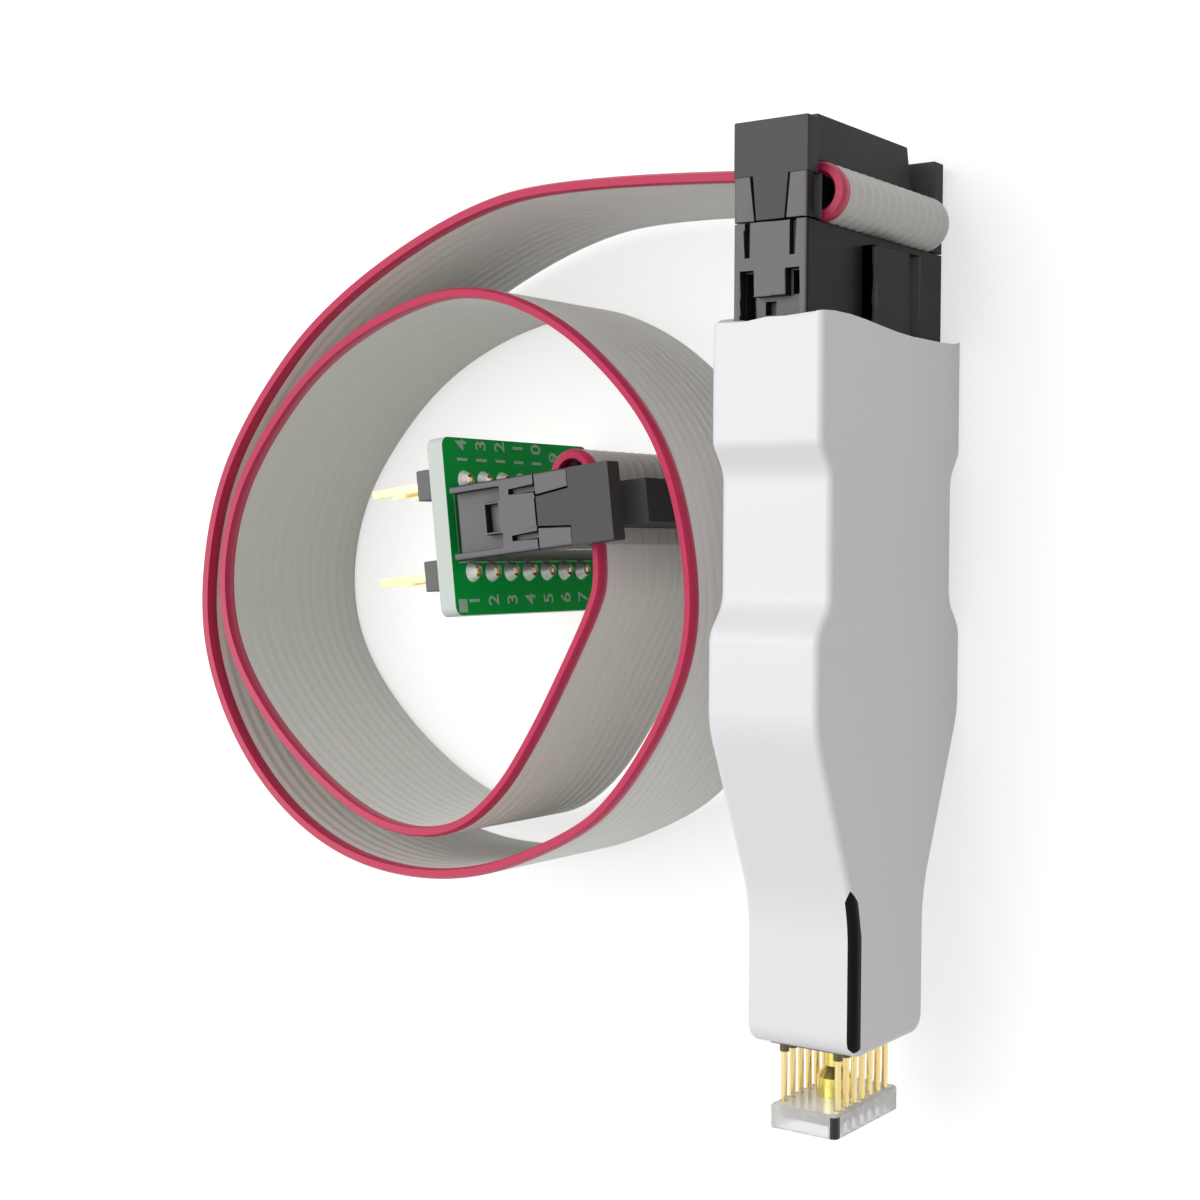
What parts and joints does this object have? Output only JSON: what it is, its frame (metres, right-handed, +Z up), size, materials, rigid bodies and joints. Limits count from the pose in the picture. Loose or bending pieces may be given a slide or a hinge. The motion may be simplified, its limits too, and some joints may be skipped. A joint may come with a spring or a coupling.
{
  "type": "chip test probe with ribbon cable",
  "caption": "Pogo-pin probe for small-outline chips with a sprung guide plate, a ribbon cable on plug-in connectors and a dual in-line pin adapter.",
  "frame": {"origin": "on the table under the middle of the probe with its connector, without the cable's other pieces", "axes": "+Z up from the table, +Y along the probe from its chip end to its connector, +X through its thickness, away from the cable's loops"},
  "size_m": [0.0693, 0.0746, 0.0234],
  "materials": {
    "white_plastic": "smooth satin moulding",
    "black_plastic": "satin glass-filled moulding",
    "clear_plastic": "clear, slightly milky",
    "brass": "turned and bright",
    "gold_plating": "gold-plated, polished",
    "barrel_metal": "dull, crimped",
    "spring_steel": "bright wire",
    "wire_insulation": "matt insulation",
    "ribbon_grey": "matt ribbed insulation with one red edge wire",
    "circuit_board": "green solder mask with white print",
    "solder": "bright solder"
  },
  "bodies": {
    "cable": {"probe_socket_body": "black_plastic", "probe_contacts": "gold_plating", "probe_socket_cap": "black_plastic", "probe_socket_clip": "black_plastic", "probe_ribbon_fold": "ribbon_grey", "adapter_socket_body": "black_plastic", "adapter_contacts": "gold_plating", "adapter_socket_cap": "black_plastic", "adapter_socket_clip": "black_plastic", "adapter_ribbon_fold": "ribbon_grey", "ribbon_cable": "ribbon_grey"},
    "probe": {"probe_body": "white_plastic", "pin_block": "black_plastic", "spring_plug": "black_plastic", "pin_barrels": "barrel_metal", "header_base": "black_plastic", "header_pins": "gold_plating", "jumper_wires": "wire_insulation", "guide_spring": "spring_steel", "plunger_spring_01": "spring_steel", "plunger_spring_02": "spring_steel", "plunger_spring_03": "spring_steel", "plunger_spring_04": "spring_steel", "plunger_spring_05": "spring_steel", "plunger_spring_06": "spring_steel", "plunger_spring_07": "spring_steel", "plunger_spring_08": "spring_steel", "plunger_spring_09": "spring_steel", "plunger_spring_10": "spring_steel", "plunger_spring_11": "spring_steel", "plunger_spring_12": "spring_steel", "plunger_spring_13": "spring_steel", "plunger_spring_14": "spring_steel"},
    "guide": {"guide_plate": "clear_plastic", "guide_post": "brass"},
    "adapter": {"adapter_board": "circuit_board", "adapter_header_base": "black_plastic", "adapter_header_pins": "gold_plating", "dip_strip_low": "black_plastic", "dip_strip_high": "black_plastic", "dip_pins_low": "gold_plating", "dip_pins_high": "gold_plating", "adapter_solder": "solder"},
    "plunger_01": {"plunger_01": "gold_plating"},
    "plunger_02": {"plunger_02": "gold_plating"},
    "plunger_03": {"plunger_03": "gold_plating"},
    "plunger_04": {"plunger_04": "gold_plating"},
    "plunger_05": {"plunger_05": "gold_plating"},
    "plunger_06": {"plunger_06": "gold_plating"},
    "plunger_07": {"plunger_07": "gold_plating"},
    "plunger_08": {"plunger_08": "gold_plating"},
    "plunger_09": {"plunger_09": "gold_plating"},
    "plunger_10": {"plunger_10": "gold_plating"},
    "plunger_11": {"plunger_11": "gold_plating"},
    "plunger_12": {"plunger_12": "gold_plating"},
    "plunger_13": {"plunger_13": "gold_plating"},
    "plunger_14": {"plunger_14": "gold_plating"}
  },
  "joints": [
    {"name": "probe_unplug", "type": "slide", "parent": "cable", "child": "probe", "axis": [0, -1, 0], "range_m": [0, 0.008]},
    {"name": "adapter_unplug", "type": "slide", "parent": "cable", "child": "adapter", "axis": [-0.9932, -0.1167, 0], "range_m": [0, 0.008]},
    {"name": "guide_press", "type": "slide", "parent": "probe", "child": "guide", "axis": [0, 1, 0], "range_m": [0, 0.002], "stiffness_N_per_m": 200, "springref_m": -0.001, "deforming": ["guide_spring"]},
    {"name": "plunger_01_press", "type": "slide", "parent": "probe", "child": "plunger_01", "axis": [0, 1, 0], "range_m": [0, 0.002], "stiffness_N_per_m": 300, "springref_m": -0.0005, "deforming": ["plunger_spring_01"]},
    {"name": "plunger_02_press", "type": "slide", "parent": "probe", "child": "plunger_02", "axis": [0, 1, 0], "range_m": [0, 0.002], "stiffness_N_per_m": 300, "springref_m": -0.0005, "deforming": ["plunger_spring_02"]},
    {"name": "plunger_03_press", "type": "slide", "parent": "probe", "child": "plunger_03", "axis": [0, 1, 0], "range_m": [0, 0.002], "stiffness_N_per_m": 300, "springref_m": -0.0005, "deforming": ["plunger_spring_03"]},
    {"name": "plunger_04_press", "type": "slide", "parent": "probe", "child": "plunger_04", "axis": [0, 1, 0], "range_m": [0, 0.002], "stiffness_N_per_m": 300, "springref_m": -0.0005, "deforming": ["plunger_spring_04"]},
    {"name": "plunger_05_press", "type": "slide", "parent": "probe", "child": "plunger_05", "axis": [0, 1, 0], "range_m": [0, 0.002], "stiffness_N_per_m": 300, "springref_m": -0.0005, "deforming": ["plunger_spring_05"]},
    {"name": "plunger_06_press", "type": "slide", "parent": "probe", "child": "plunger_06", "axis": [0, 1, 0], "range_m": [0, 0.002], "stiffness_N_per_m": 300, "springref_m": -0.0005, "deforming": ["plunger_spring_06"]},
    {"name": "plunger_07_press", "type": "slide", "parent": "probe", "child": "plunger_07", "axis": [0, 1, 0], "range_m": [0, 0.002], "stiffness_N_per_m": 300, "springref_m": -0.0005, "deforming": ["plunger_spring_07"]},
    {"name": "plunger_08_press", "type": "slide", "parent": "probe", "child": "plunger_08", "axis": [0, 1, 0], "range_m": [0, 0.002], "stiffness_N_per_m": 300, "springref_m": -0.0005, "deforming": ["plunger_spring_08"]},
    {"name": "plunger_09_press", "type": "slide", "parent": "probe", "child": "plunger_09", "axis": [0, 1, 0], "range_m": [0, 0.002], "stiffness_N_per_m": 300, "springref_m": -0.0005, "deforming": ["plunger_spring_09"]},
    {"name": "plunger_10_press", "type": "slide", "parent": "probe", "child": "plunger_10", "axis": [0, 1, 0], "range_m": [0, 0.002], "stiffness_N_per_m": 300, "springref_m": -0.0005, "deforming": ["plunger_spring_10"]},
    {"name": "plunger_11_press", "type": "slide", "parent": "probe", "child": "plunger_11", "axis": [0, 1, 0], "range_m": [0, 0.002], "stiffness_N_per_m": 300, "springref_m": -0.0005, "deforming": ["plunger_spring_11"]},
    {"name": "plunger_12_press", "type": "slide", "parent": "probe", "child": "plunger_12", "axis": [0, 1, 0], "range_m": [0, 0.002], "stiffness_N_per_m": 300, "springref_m": -0.0005, "deforming": ["plunger_spring_12"]},
    {"name": "plunger_13_press", "type": "slide", "parent": "probe", "child": "plunger_13", "axis": [0, 1, 0], "range_m": [0, 0.002], "stiffness_N_per_m": 300, "springref_m": -0.0005, "deforming": ["plunger_spring_13"]},
    {"name": "plunger_14_press", "type": "slide", "parent": "probe", "child": "plunger_14", "axis": [0, 1, 0], "range_m": [0, 0.002], "stiffness_N_per_m": 300, "springref_m": -0.0005, "deforming": ["plunger_spring_14"]}
  ]
}
